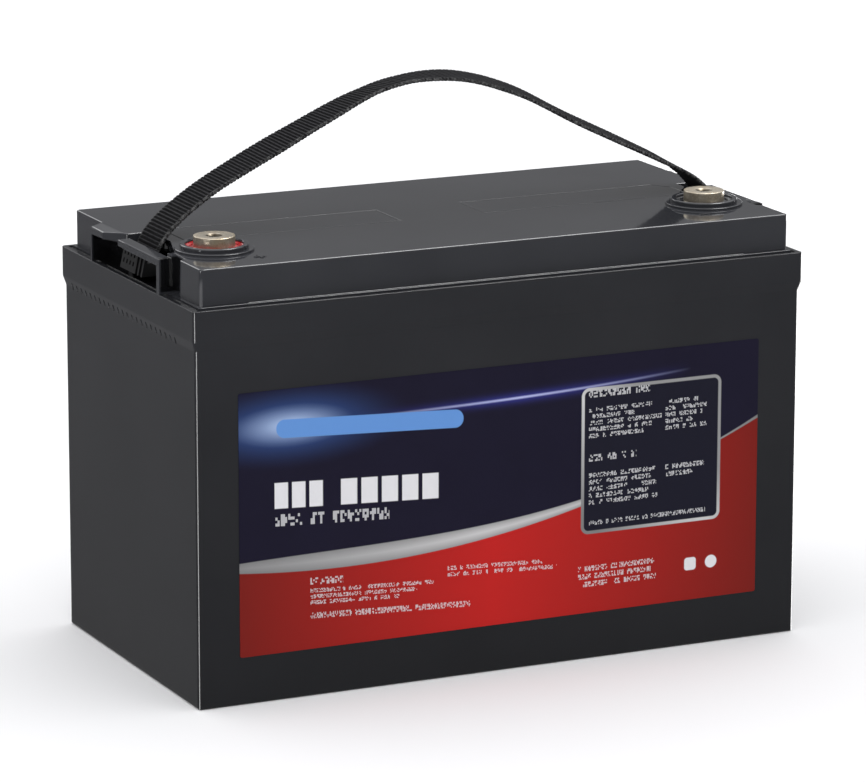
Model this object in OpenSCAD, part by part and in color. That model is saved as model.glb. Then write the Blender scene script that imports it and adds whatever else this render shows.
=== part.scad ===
// Sealed lead-acid deep cycle battery, 12 V, six cells in one row, with a webbing carry strap.
// X runs along the length, the label is on the -Y side and +Z is up.
// The origin is the middle of the base. All sizes are in millimetres.

/* [Case] */
// Length of the case over its collar
case_l = 330; // [326:0.5:332]
// Width of the case over its collar
case_w = 172.5; // [170:0.5:176]
// Height of the container's rim
rim_z = 197; // [190:0.5:205]
// Height of the lid's top face above the rim
lid_rise = 19; // [18.8:0.1:20]
// Thickness of the container's outer walls and floor
wall = 4; // [3.2:0.1:4.2]
// Thickness of the walls between the cells
partition = 2.2; // [1.8:0.1:2.4]
// Height of the collar below the rim
collar_h = 15; // [12:0.5:18]
// How far the collar stands out from the body
collar_step = 1.3; // [1:0.1:1.5]
// How far the lid's walls stand in from the collar
lid_inset = 5.9; // [5.7:0.1:6.1]

/* [Plates] */
// Number of positive plates in a cell
positive_n = 6; // [3:1:6]
// Thickness of a positive plate
positive_t = 3.4; // [2.4:0.1:3.4]
// Thickness of a negative plate
negative_t = 2.4; // [1.6:0.1:2.4]
// Thickness of one layer of glass mat
mat_t = 1.15; // [0.8:0.05:1.15]
// Height of the pasted part of a plate
plate_h = 150; // [120:1:150]
// Width of a plate
plate_w = 154; // [140:1:156]

/* [Terminals] */
// Distance of each terminal from the middle of the length
terminal_x = 134; // [133:0.1:134.5]
// Distance of the terminals from the middle of the width, towards the label
terminal_y = 38.5; // [37:0.5:39]
// Height of the terminals above the lid
terminal_rise = 7; // [5:0.5:9]
// Radius of the terminal's round head
terminal_r = 10.2; // [9:0.1:11]
// Radius at the crest of the M8 thread
thread_r = 3.4; // [3.3:0.05:3.45]
// Depth of the threaded hole below its countersink
thread_l = 12; // [8:0.5:14]

/* [Strap] */
// Width of the webbing
strap_w = 25; // [20:0.5:25]
// Thickness of the webbing
strap_t = 2; // [1.5:0.1:2.1]
// Slope of the strap's flanks
flank = 26; // [20:0.5:30]
// Slope of the strap where it enters the lid
entry = 62; // [60:0.5:64]

/* [Label] */
// Length of the label
label_l = 283; // [200:1:300]
// Height of the label
label_h = 131; // [80:1:140]

/* [Hidden] */
$fn = 48;
hull_fn = 32;
overrun = 1;
touch = 0.02;

// Case
corner_r = 2.2;
foot_r = 1.6;
chamfer_h = 4.6;
body_l = case_l - 2 * collar_step;
body_w = case_w - 2 * collar_step;
inner_l = body_l - 2 * wall;
inner_w = body_w - 2 * wall;
collar_z = rim_z - collar_h;
partition_z = rim_z - 7;
rebate_depth = 1.5;
rebate_z = rim_z - rebate_depth;
seam_h = 1;
lip_t = 2.6;
tick_n = 23;
tick_first_y = 73.6;
tick_pitch = 6.1;
tick_h = 3;
tick_w = 1.2;
tick_depth = 0.7;
tick_top = 2.2;
tick_z = collar_z - chamfer_h + tick_top - tick_h;

// Lid
lid_z = rim_z + lid_rise;
lid_l = case_l - 2 * lid_inset;
lid_w = case_w - 2 * lid_inset;
lid_r = 1.8;
roof_t = 3;
skirt_t = 3;
flange_out = 1.9;
flange_rise = 0.9;
plug_z = partition_z + 0.2;
roof_z = lid_z - roof_t;

// Cells
cell_n = 6;
cell_l = (inner_l - (cell_n - 1) * partition) / cell_n;
cell_pitch = cell_l + partition;
cell_r = 1.5;
mat_z = wall + 0.8;
plate_z = mat_z + mat_t + 0.5;
plate_top = plate_z + plate_h;
mat_w = plate_w + 4;
mat_top = plate_top + 3;
unit_t = negative_t + positive_t + 2 * mat_t;
stack_l = positive_n * unit_t + negative_t;
lug_w = 14;
lug_h = 10;
bus_z = plate_top + lug_h;
bus_h = 8;
bus_w = 16;
bus_l = cell_l - 4;
tab_t = 3;
tab_top = partition_z - 1;
weld_r = 5;
weld_z = tab_top - 8;

// Terminals
head_z = lid_z + terminal_rise;
post_r = 6.5;
boss_r = 16.8;
boss_rise = 3.2;
ring_r = 19.5;
ring_rise = 1.1;
well_r = 14.2;
well_z = lid_z - 9;
boss_z = well_z - 4;
resin_z = lid_z + 2.1;
o_ring_r = 1.1;
head_low = well_z + 2 * o_ring_r;
neck_z = boss_z - 4;
sink_h = 1;
sink_r = 4.2;
mark_x = 121;
mark_y = 64;
mark_l = 6;
mark_w = 1.4;
mark_h = 0.4;

// Label
label_x = -0.5;
label_z = 89.5;
label_t = 0.3;
label_r = 1;

// Vent covers and valves
cover_l = 115;
cover_w = 29;
cover_x = 81;
cover_y = 1.2;
cover_t = 2.1;
cover_gap = 0.5;
cover_cut = [6, 9.5];
cover_pad = 1.6;
cover_drop = 0.05;
valve_x = [36, 80.5, 125];
valve_well_r = 7.2;
valve_wall = 1.8;
valve_floor = lid_z - 12;
nipple_r = 3.6;
nipple_h = 5.5;
nipple_bore = 1.6;
cap_r = 5.6;
cap_h = 7;
cap_fit = 0.05;
cap_lift = 0.3;
valve_floor_t = 2;

// Strap holders at the two ends of the lid
pocket_front = -40;
pocket_back = 44.2;
pocket_side = 1.2;
pocket_top = rim_z + 13.6;
pocket_shallow = 155;
pocket_step = 15;
pocket_deep = 146.5;
pocket_turn = -14;
pocket_nose = 154.5;
pocket_wall = 2.5;
pocket_flat = 2;
post_t = 3.5;
bar_end = 9.7;
bar_in = 158.3;
bar_low = lid_z - 5;
bar_top = lid_z - 1.5;
mouth_in = 13.5;
mouth_out = 31.9;
lintel_top = lid_z - 1.7;
lintel_fall = 0.3;
notch_depth = 3.1;
notch_front = -55.5;
block_gap = 0.2;

// Cuts between the lid's nodes
corner_x = 111;
holder_x = 143;
holder_y = 50;
split_y = -16;

// Strap and its anchors
strap_y = -1.5;
strap_end_x = 158;
strap_end_z = rim_z + 5.8;
// Slope of the strap at fractions of the way from its crown to its end
strap_bend = [[0, 0], [0.28, flank], [0.67, flank + 1], [0.87, (flank + entry) / 2 - 6], [0.92, entry], [1, entry]];
strap_steps = 50;
anchor_w = 28;
anchor_y = -2;
anchor_top = bar_low - 0.4;
anchor_low = rim_z + 3.2;
anchor_jaw = 3.6;
anchor_lean = 2.3;
anchor_plate = 1.8;
anchor_out = 162.9;
anchor_in = 151.9;
anchor_fit = 0.2;
anchor_hole = [4, 1.4, 2.2];
anchor_hole_x = 161.5;
anchor_holes_y = [9, 5, 1, -3];
anchor_holes_z = [4, 8];
anchor_groove_w = 2.8;
anchor_groove_depth = 0.9;
anchor_grooves_y = [-8.5, -12.8];

black_abs = "#1d1e1f";
lead = "#8b8f94";

function numbered(name, n) = [for (k = [1:n]) str(name, k)];
function reversed(list) = [for (i = [len(list) - 1:-1:0]) list[i]];
function cell_x(k) = (k - (cell_n + 1) / 2) * cell_pitch;
function partition_x(k) = (k - cell_n / 2) * cell_pitch;

// -1 where the cell's positive plates connect on the label side, 1 where they connect at the back
function positive_side(k) = k % 2 == 1 ? -1 : 1;

// Upright block with its four corners rounded in plan, centred on the Z axis
module slab(l, w, h, r) {
    linear_extrude(h) {
        square([l - 2 * r, w], center = true);
        square([l, w - 2 * r], center = true);
        for (x = [-1, 1], y = [-1, 1])
            translate([x * (l / 2 - r), y * (w / 2 - r)])
                circle(r);
    }
}

// Outline that stands on the X axis and has its two lower corners rounded
module footed(w, h, r) {
    translate([-w / 2, r]) square([w, h - r]);
    translate([r - w / 2, 0]) square([w - 2 * r, h]);
    for (x = [-1, 1])
        translate([x * (w / 2 - r), r])
            circle(r);
}

// Outline drawn in X and Z, made wide along Y about the given place
module across(w, y = 0) {
    translate([0, y + w / 2, 0])
        rotate([90, 0, 0])
            linear_extrude(w)
                children();
}

// Block from its lowest to its highest corner
module block(low, high) {
    translate(low) cube(high - low);
}

module both_ends() {
    children();
    mirror([1, 0, 0]) children();
}

// ---- Container ----

module container_body() {
    intersection() {
        slab(body_l, body_w, collar_z, corner_r);
        across(case_w) footed(body_l, collar_z + overrun, foot_r);
        rotate(90) across(case_l) footed(body_w, collar_z + overrun, foot_r);
    }
}

module collar() {
    translate([0, 0, collar_z]) slab(case_l, case_w, collar_h, corner_r);
    hull() {
        translate([0, 0, collar_z - chamfer_h])
            slab(body_l, body_w, touch, corner_r, $fn = hull_fn);
        translate([0, 0, collar_z])
            slab(case_l, case_w, touch, corner_r, $fn = hull_fn);
    }
}

// Row of short slots under the collar at both ends
module ticks() {
    both_ends()
        for (i = [0:tick_n - 1])
            translate([-case_l / 2 - overrun, tick_first_y - i * tick_pitch - tick_w / 2, tick_z])
                cube([collar_step + overrun + tick_depth, tick_w, tick_h]);
}

module container() {
    color(black_abs) difference() {
        union() {
            container_body();
            collar();
        }
        ticks();
        for (k = [1:cell_n])
            translate([cell_x(k), 0, wall])
                slab(cell_l, inner_w, rim_z, cell_r);
        translate([0, 0, partition_z])
            slab(inner_l, inner_w, rim_z, cell_r);
        translate([0, 0, rebate_z])
            slab(case_l - 2 * lip_t, case_w - 2 * lip_t, rim_z, cell_r);
        for (k = [1:cell_n - 1])
            translate([partition_x(k), weld_y(k), weld_z])
                rotate([0, 90, 0])
                    cylinder(h = partition + 2 * overrun, r = weld_r, center = true);
    }
}

// ---- Lid ----

// Plan of a strap pocket at the -X end, grown by g on its inner sides
function pocket_plan(g) = [
    [-lid_l / 2 - (g > 0 ? 0 : lid_inset + overrun), pocket_front - g],
    [-lid_l / 2 - (g > 0 ? 0 : lid_inset + overrun), pocket_back + g],
    [-pocket_shallow + g, pocket_back + g],
    [-pocket_shallow + g, pocket_step + g],
    [-pocket_deep + g, pocket_step + g],
    [-pocket_deep + g, pocket_turn - g / 2],
    [-pocket_nose + g, pocket_front + pocket_flat - g / 2],
    [-pocket_nose + g, pocket_front - g]
];

// Plan of the slot in the roof, with the mouth where the webbing is slipped in from the end
slot_plan = [
    [-case_l / 2 - overrun, mouth_out],
    [-bar_in, mouth_in],
    [-pocket_deep, mouth_in],
    [-pocket_deep, pocket_turn],
    [-pocket_nose, pocket_front + pocket_flat],
    [-bar_in, pocket_front + pocket_flat],
    [-bar_in, bar_end],
    [-case_l / 2 - overrun, bar_end]
];

module lid_shell() {
    difference() {
        union() {
            translate([0, 0, plug_z]) slab(lid_l, lid_w, lid_z - plug_z, lid_r);
            translate([0, 0, rebate_z])
                slab(lid_l + 2 * flange_out, lid_w + 2 * flange_out, rebate_depth + flange_rise, lid_r);
        }
        for (k = [1:cell_n])
            difference() {
                cell_roof_space(k);
                both_ends() pocket_shell();
            }
    }
}

module cell_roof_space(k) {
    reach = lid_l / 2 - skirt_t;
    low = max(cell_x(k) - cell_l / 2, -reach);
    high = min(cell_x(k) + cell_l / 2, reach);
    block([low, skirt_t - lid_w / 2, plug_z - overrun], [high, lid_w / 2 - skirt_t, roof_z]);
}

// Material that must stay behind the strap pocket and behind the notch beside it
module pocket_shell() {
    translate([0, 0, rebate_z - overrun])
        linear_extrude(lid_z)
            polygon(pocket_plan(pocket_wall));
    block([-lid_l / 2, notch_front - pocket_wall, rebate_z - overrun],
          [-lid_l / 2 + notch_depth + skirt_t, pocket_front, lid_z]);
}

// Outer part of the strap holder, flush with the end of the case
module holder() {
    difference() {
        block([-case_l / 2, pocket_front - post_t, rim_z + block_gap],
              [-pocket_shallow, pocket_back + pocket_side, lid_z]);
        across(2 * case_w)
            polygon([[-lid_l / 2, lid_z], [-case_l / 2 - overrun, lid_z + overrun],
                     [-case_l / 2 - overrun, lintel_top - lintel_fall], [-case_l / 2, lintel_top]]);
    }
}

module holder_cuts() {
    translate([0, 0, rim_z])
        linear_extrude(pocket_top - rim_z)
            polygon(pocket_plan(0));
    translate([0, 0, pocket_top - overrun])
        linear_extrude(lid_z)
            polygon(slot_plan);
    // the bar is thinner than the lintel and lower than the lid
    block([-case_l / 2 - overrun, pocket_front, pocket_top - overrun],
          [-bar_in, bar_end, bar_low]);
    block([-case_l / 2 - overrun, pocket_front - post_t - overrun, bar_top],
          [-bar_in, bar_end + overrun, lid_z + overrun]);
    // notch between the post and the front corner
    translate([0, 0, rim_z + flange_rise])
        linear_extrude(lid_z)
            polygon([[-case_l / 2, pocket_front - post_t], [-lid_l / 2 + notch_depth, pocket_front - post_t],
                     [-lid_l / 2 + notch_depth, notch_front + notch_depth], [-lid_l / 2, notch_front],
                     [-case_l / 2, notch_front]]);
}

module terminal_boss() {
    translate([-terminal_x, -terminal_y, 0]) {
        translate([0, 0, boss_z]) cylinder(h = lid_z + boss_rise - boss_z, r = boss_r);
        translate([0, 0, roof_z]) cylinder(h = roof_t + ring_rise, r = ring_r);
    }
}

module terminal_well() {
    translate([-terminal_x, -terminal_y, 0]) {
        translate([0, 0, well_z]) cylinder(h = lid_z, r = well_r);
        translate([0, 0, boss_z - overrun]) cylinder(h = lid_z, r = post_r + cap_fit);
    }
}

// Plan of a vent cover at the +X side, grown by g
module cover_plan(g) {
    l = cover_l / 2 + g;
    w = cover_w / 2 + g;
    translate([cover_x, cover_y])
        polygon([[-l, -w], [l, -w], [l, w - cover_cut.y], [l - cover_cut.x, w], [-l, w]]);
}

module valve_towers() {
    for (x = valve_x)
        translate([x, cover_y, valve_floor - valve_floor_t])
            cylinder(h = roof_z - valve_floor + valve_floor_t, r = valve_well_r + valve_wall);
    translate([0, 0, roof_z - cover_pad])
        linear_extrude(cover_pad)
            cover_plan(skirt_t);
}

module valve_wells() {
    translate([0, 0, lid_z - cover_t - 2 * cover_drop])
        linear_extrude(lid_z)
            cover_plan(cover_gap);
    for (x = valve_x)
        translate([x, cover_y, 0]) {
            difference() {
                translate([0, 0, valve_floor]) cylinder(h = lid_z, r = valve_well_r);
                cylinder(h = valve_floor + nipple_h, r = nipple_r);
            }
            translate([0, 0, plug_z]) cylinder(h = lid_z, r = nipple_bore);
        }
}

// Raised plus and minus beside the terminals
module polarity_marks() {
    for (x = [-mark_x, mark_x])
        translate([x, -mark_y, lid_z + mark_h / 2])
            cube([mark_l, mark_w, mark_h + touch], center = true);
    translate([-mark_x, -mark_y, lid_z + mark_h / 2])
        cube([mark_w, mark_l, mark_h + touch], center = true);
}

module lid_moulding() {
    difference() {
        union() {
            lid_shell();
            both_ends() {
                holder();
                terminal_boss();
                valve_towers();
            }
            polarity_marks();
        }
        both_ends() {
            holder_cuts();
            terminal_well();
            valve_wells();
        }
    }
}

// The lid is one moulding. It is split at plain cuts into five nodes, so that each stays simple.
module corner_space() {
    block([-case_l / 2 - overrun, -case_w / 2, plug_z - overrun], [-corner_x, split_y, head_z]);
}

module holder_space() {
    block([-case_l / 2 - overrun, split_y, plug_z - overrun], [-holder_x, holder_y, head_z]);
}

module lid() {
    color(black_abs) difference() {
        lid_moulding();
        both_ends() {
            corner_space();
            holder_space();
        }
    }
}

module lid_corner_left() {
    color(black_abs) intersection() {
        lid_moulding();
        corner_space();
    }
}

module lid_corner_right() {
    color(black_abs) intersection() {
        lid_moulding();
        mirror([1, 0, 0]) corner_space();
    }
}

module lid_holder_left() {
    color(black_abs) intersection() {
        lid_moulding();
        holder_space();
    }
}

module lid_holder_right() {
    color(black_abs) intersection() {
        lid_moulding();
        mirror([1, 0, 0]) holder_space();
    }
}

// Epoxy in the groove between the lid's flange and the container's lip
module lid_adhesive_seam() {
    color("#111213") difference() {
        translate([0, 0, rebate_z])
            slab(case_l - 2 * lip_t, case_w - 2 * lip_t, seam_h, cell_r);
        translate([0, 0, rebate_z - overrun])
            slab(lid_l + 2 * flange_out, lid_w + 2 * flange_out, rebate_depth + 2 * overrun, lid_r);
    }
}

module vent_cover_right() {
    color(black_abs)
        translate([0, 0, lid_z - cover_t - cover_drop])
            linear_extrude(cover_t)
                cover_plan(0);
}

module vent_cover_left() {
    mirror([1, 0, 0]) vent_cover_right();
}

// Rubber cap that lifts off its nipple when the cell's gas pressure rises
module valve_cap(k) {
    side = k <= 3 ? -1 : 1;
    place = side * valve_x[k <= 3 ? 3 - k : k - 4];
    color("#2b2b2b")
        translate([place, cover_y, valve_floor + cap_lift])
            difference() {
                cylinder(h = cap_h, r = cap_r);
                translate([0, 0, -overrun])
                    cylinder(h = nipple_h + overrun, r = nipple_r + cap_fit);
            }
}

// ---- Cells ----

module in_cell(k) {
    translate([cell_x(k) - stack_l / 2, 0, 0]) children();
}

// Pasted grid with its lug, on the given side
module plate(x, t, side) {
    block([x, -plate_w / 2, plate_z], [x + t, plate_w / 2, plate_top]);
    block([x, side * terminal_y - lug_w / 2, plate_top - touch], [x + t, side * terminal_y + lug_w / 2, bus_z]);
}

module positive_plates(k) {
    color("#4a2f25") in_cell(k)
        for (i = [0:positive_n - 1])
            plate(i * unit_t + negative_t + mat_t, positive_t, positive_side(k));
}

module negative_plates(k) {
    color(lead) in_cell(k)
        for (i = [0:positive_n])
            plate(i * unit_t, negative_t, -positive_side(k));
}

// Glass mats, each folded under and up both sides of a positive plate
module glass_mats(k) {
    color("#e9e9e4") in_cell(k)
        for (i = [0:positive_n - 1])
            translate([i * unit_t + negative_t, 0, 0])
                difference() {
                    block([0, -mat_w / 2, mat_z], [positive_t + 2 * mat_t, mat_w / 2, mat_top]);
                    block([mat_t, -mat_w, mat_z + mat_t], [mat_t + positive_t, mat_w, mat_top + overrun]);
                }
}

// Cast lead bar across a cell's lugs; toward is the side of its upright tab, or 0 for none
module bus(k, side, toward) {
    color(lead) translate([cell_x(k), side * terminal_y, 0]) {
        block([-bus_l / 2, -bus_w / 2, bus_z], [bus_l / 2, bus_w / 2, bus_z + bus_h]);
        if (toward != 0)
            translate([toward * (cell_l - tab_t) / 2, 0, (bus_z + tab_top) / 2])
                cube([tab_t, bus_w, tab_top - bus_z], center = true);
    }
}

module positive_bus(k) {
    bus(k, positive_side(k), k == 1 ? 0 : -1);
}

module negative_bus(k) {
    bus(k, -positive_side(k), k == cell_n ? 0 : 1);
}

function weld_y(k) = -positive_side(k) * terminal_y;

// Lead nuggets through the partitions, each between a negative bus and the next cell's positive bus
module intercell_welds() {
    color(lead)
        for (k = [1:cell_n - 1])
            translate([partition_x(k), weld_y(k), weld_z])
                rotate([0, 90, 0])
                    cylinder(h = partition, r = weld_r, center = true);
}

// ---- Terminals ----

module terminal_post_positive() {
    color(lead)
        translate([-terminal_x, -terminal_y, bus_z + bus_h])
            cylinder(h = neck_z - bus_z - bus_h, r = post_r);
}

module terminal_post_negative() {
    mirror([1, 0, 0]) terminal_post_positive();
}

// Brass insert: a neck through the lid, a round head and a countersunk M8 thread
module terminal_positive() {
    color("#b9a888")
        translate([-terminal_x, -terminal_y, 0])
            difference() {
                union() {
                    translate([0, 0, neck_z]) cylinder(h = head_z - neck_z, r = post_r);
                    translate([0, 0, head_low]) cylinder(h = head_z - head_low, r = terminal_r);
                }
                translate([0, 0, head_z - sink_h - thread_l]) cylinder(h = head_z, r = thread_r);
                translate([0, 0, head_z - sink_h])
                    cylinder(h = sink_h, r1 = thread_r, r2 = sink_r);
            }
}

module terminal_negative() {
    mirror([1, 0, 0]) terminal_positive();
}

module resin_seal() {
    translate([-terminal_x, -terminal_y, well_z])
        difference() {
            cylinder(h = resin_z - well_z, r = well_r);
            translate([0, 0, -overrun]) cylinder(h = lid_z, r = terminal_r);
        }
}

module resin_seal_positive() {
    color("#b8262a") resin_seal();
}

module resin_seal_negative() {
    color("#161718") mirror([1, 0, 0]) resin_seal();
}

module o_ring_positive() {
    color("#202020")
        translate([-terminal_x, -terminal_y, well_z + o_ring_r])
            rotate_extrude()
                translate([post_r + cap_fit + o_ring_r, 0])
                    circle(o_ring_r);
}

module o_ring_negative() {
    mirror([1, 0, 0]) o_ring_positive();
}

// ---- Label ----

module front_label() {
    color("#2a2438")
        translate([label_x, -body_w / 2, label_z])
            rotate([90, 0, 0])
                slab(label_l, label_h, label_t, label_r);
}

// ---- Strap ----

// Middle line of half of a strap of length 1, from its crown outwards, as [distance, drop, slope]
unit_strap = [
    for (i = 0, x = 0, drop = 0; i <= strap_steps;
         a = lookup((i + 0.5) / strap_steps, strap_bend),
         x = x + cos(a) / strap_steps,
         drop = drop + sin(a) / strap_steps,
         i = i + 1)
        [x, drop, lookup(i / strap_steps, strap_bend)]
];
half_length = strap_end_x / unit_strap[strap_steps][0];
crown_z = strap_end_z + half_length * unit_strap[strap_steps][1];

// One face of half of the strap, out from its middle line, on the -X or the +X side
function strap_face(out, side) = [
    for (p = unit_strap)
        [side * (half_length * p[0] + out * sin(p[2])), crown_z - half_length * p[1] + out * cos(p[2])]
];

module handle_strap() {
    half = strap_t / 2;
    color("#1a1a1b")
        across(strap_w, strap_y)
            polygon(concat(
                reversed(strap_face(half, -1)), strap_face(half, 1),
                reversed(strap_face(-half, 1)), strap_face(-half, -1)
            ));
}

// Section of an anchor: a leaning outer plate and a jaw that grips the webbing
anchor_section = [
    [-anchor_out, anchor_low],
    [-anchor_out + anchor_lean, anchor_top],
    [-anchor_out + anchor_lean + anchor_plate, anchor_top],
    [-anchor_out + anchor_lean + anchor_plate / 2, anchor_top - anchor_jaw],
    [-anchor_in, anchor_top - anchor_jaw],
    [-anchor_in - anchor_plate, anchor_low]
];

// Channel in an anchor for the end of the webbing
module webbing_channel() {
    half = strap_t / 2 + anchor_fit;
    across(strap_w + 2 * anchor_fit, strap_y)
        translate([-strap_end_x, strap_end_z])
            rotate(entry)
                translate([-anchor_fit, -half])
                    square([anchor_w, 2 * half]);
}

module strap_anchor_left() {
    color("#232425") difference() {
        across(anchor_w, anchor_y) polygon(anchor_section);
        webbing_channel();
        for (y = anchor_holes_y, z = anchor_holes_z)
            translate([-anchor_hole_x, y, anchor_low + z])
                cube(anchor_hole, center = true);
        for (y = anchor_grooves_y)
            across(anchor_groove_w, y)
                polygon([[-case_l / 2, anchor_low - overrun],
                         [-anchor_out + anchor_groove_depth, anchor_low - overrun],
                         [-anchor_out + anchor_lean + anchor_groove_depth, anchor_top + overrun],
                         [-case_l / 2, anchor_top + overrun]]);
    }
}

module strap_anchor_right() {
    mirror([1, 0, 0]) strap_anchor_left();
}

container();
lid();
lid_corner_left();
lid_corner_right();
lid_holder_left();
lid_holder_right();
lid_adhesive_seam();
vent_cover_left();
vent_cover_right();
front_label();
handle_strap();
strap_anchor_left();
strap_anchor_right();
terminal_positive();
terminal_negative();
resin_seal_positive();
resin_seal_negative();
o_ring_positive();
o_ring_negative();
terminal_post_positive();
terminal_post_negative();
for (k = [1:6]) {
    valve_cap(k);
    positive_plates(k);
    negative_plates(k);
    glass_mats(k);
    positive_bus(k);
    negative_bus(k);
}
intercell_welds();
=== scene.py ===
"""A 12 V deep cycle battery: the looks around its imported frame.

Lengths are in metres, and MM turns millimetres into metres.
"""
import math
import random

import bmesh
import bpy
import numpy as np
from mathutils import Matrix, Vector, kdtree
from mathutils.bvhtree import BVHTree


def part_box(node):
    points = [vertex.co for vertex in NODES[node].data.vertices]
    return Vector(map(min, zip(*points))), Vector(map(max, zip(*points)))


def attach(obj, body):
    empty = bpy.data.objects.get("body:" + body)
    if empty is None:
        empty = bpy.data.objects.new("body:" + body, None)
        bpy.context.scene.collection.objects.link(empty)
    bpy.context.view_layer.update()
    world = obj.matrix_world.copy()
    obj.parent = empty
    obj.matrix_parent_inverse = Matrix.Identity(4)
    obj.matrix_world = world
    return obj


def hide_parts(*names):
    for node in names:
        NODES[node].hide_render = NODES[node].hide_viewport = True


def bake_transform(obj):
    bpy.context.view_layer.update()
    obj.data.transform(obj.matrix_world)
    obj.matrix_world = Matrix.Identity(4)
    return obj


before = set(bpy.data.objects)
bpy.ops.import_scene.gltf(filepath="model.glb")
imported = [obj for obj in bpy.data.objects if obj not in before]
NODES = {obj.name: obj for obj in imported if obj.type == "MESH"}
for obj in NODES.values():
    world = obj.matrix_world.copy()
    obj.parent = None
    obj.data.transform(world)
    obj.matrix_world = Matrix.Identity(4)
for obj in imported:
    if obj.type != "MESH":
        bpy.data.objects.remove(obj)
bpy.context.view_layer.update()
MM = 0.001
CELLS = range(1, 7)

# Edges that turn by more than SHARP are true edges, and faces that turn by less than FLAT are one face
SHARP = math.radians(13)
FLAT = math.radians(0.4)
MERGE = 1e-6
# Softness of the edges of the painted shade in the recesses
RECESS_SHADE_SOFT = 0.6 * MM
# Spans of |x|, y and z in the lid that get painted shade: the strap pockets, and the notches between them and
# the front corners
SHADED_RECESSES = [
    ((0.1440, 0.1643), (-0.0407, 0.0449), (0.1960, 0.2112)),
    ((0.1440, 0.1643), (-0.0545, -0.0400), (0.1985, 0.2152)),
]

CASE_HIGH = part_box("container")[1]
TERMINAL = {sign: sum(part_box("terminal_" + sign), Vector()) / 2 for sign in ("positive", "negative")}
COVER = {side: sum(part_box("vent_cover_" + side), Vector()) / 2 for side in ("left", "right")}
LID_CUTS = [
    ((1, 0, 0), [TERMINAL["positive"].x, TERMINAL["negative"].x, COVER["left"].x, COVER["right"].x]),
    ((0, 1, 0), [TERMINAL["positive"].y, COVER["left"].y]),
]


# ---- Node graphs ----

class Value:
    """A node's output, which arithmetic turns into Math nodes."""

    def __init__(self, graph, socket):
        self.graph, self.socket = graph, socket

    def __add__(self, other):
        return self.graph.math("ADD", self, other)

    __radd__ = __add__

    def __sub__(self, other):
        return self.graph.math("SUBTRACT", self, other)

    def __rsub__(self, other):
        return self.graph.math("SUBTRACT", other, self)

    def __mul__(self, other):
        return self.graph.math("MULTIPLY", self, other)

    def __truediv__(self, other):
        return self.graph.math("DIVIDE", self, other)

    def floor(self):
        return self.graph.math("FLOOR", self)

    def fraction(self):
        return self.graph.math("FRACT", self)

    def abs(self):
        return self.graph.math("ABSOLUTE", self)

    def power(self, exponent):
        return self.graph.math("POWER", self, exponent)

    def at_least(self, other):
        return self.graph.math("MAXIMUM", self, other)

    def at_most(self, other):
        return self.graph.math("MINIMUM", self, other)

    def above(self, edge, soft=0.0):
        """1 above the edge and 0 below it, with a soft step."""
        if soft:
            return self.graph.math("MULTIPLY_ADD", self - edge, 1 / soft, 0.5, clamp=True)
        return self.graph.math("GREATER_THAN", self, edge)


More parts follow.
